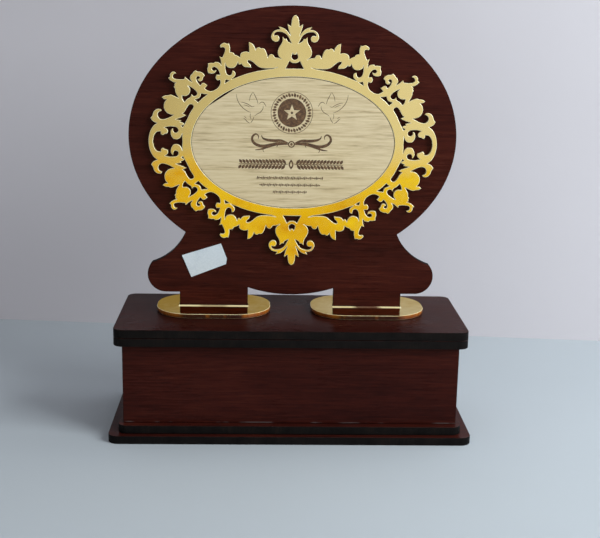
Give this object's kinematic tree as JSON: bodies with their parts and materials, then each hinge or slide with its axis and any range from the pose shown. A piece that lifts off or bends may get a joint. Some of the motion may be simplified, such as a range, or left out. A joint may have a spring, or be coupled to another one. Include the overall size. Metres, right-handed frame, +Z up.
{
  "type": "award plaque",
  "caption": "Free-standing award plaque: an oval dark wood back board carries a gold filigree ring and an engraved light oval, on a stepped hollow base.",
  "frame": {"origin": "centre of the underside of the base", "axes": "+Z up, the engraved face looks along -Y, +X to the viewer's right"},
  "size_m": [0.2318, 0.097, 0.272],
  "materials": {
    "walnut_laminate": "satin dark walnut laminate on fibreboard, charred laser-cut edges",
    "gold_acrylic": "gold mirror-backed acrylic",
    "oak_laminate": "satin light oak laminate, laser engraved",
    "label_paper": "matt self-adhesive paper"
  },
  "bodies": {
    "root": {"plinth_lower_plate": "walnut_laminate", "plinth_upper_plate": "walnut_laminate", "front_panel": "walnut_laminate", "back_panel": "walnut_laminate", "left_side_panel": "walnut_laminate", "right_side_panel": "walnut_laminate", "cap_lower_plate": "walnut_laminate", "cap_upper_plate": "walnut_laminate", "backboard": "walnut_laminate", "left_foot_pad": "gold_acrylic", "right_foot_pad": "gold_acrylic", "gold_frame": "gold_acrylic", "engraved_panel": "oak_laminate", "paper_label": "label_paper"}
  },
  "joints": []
}
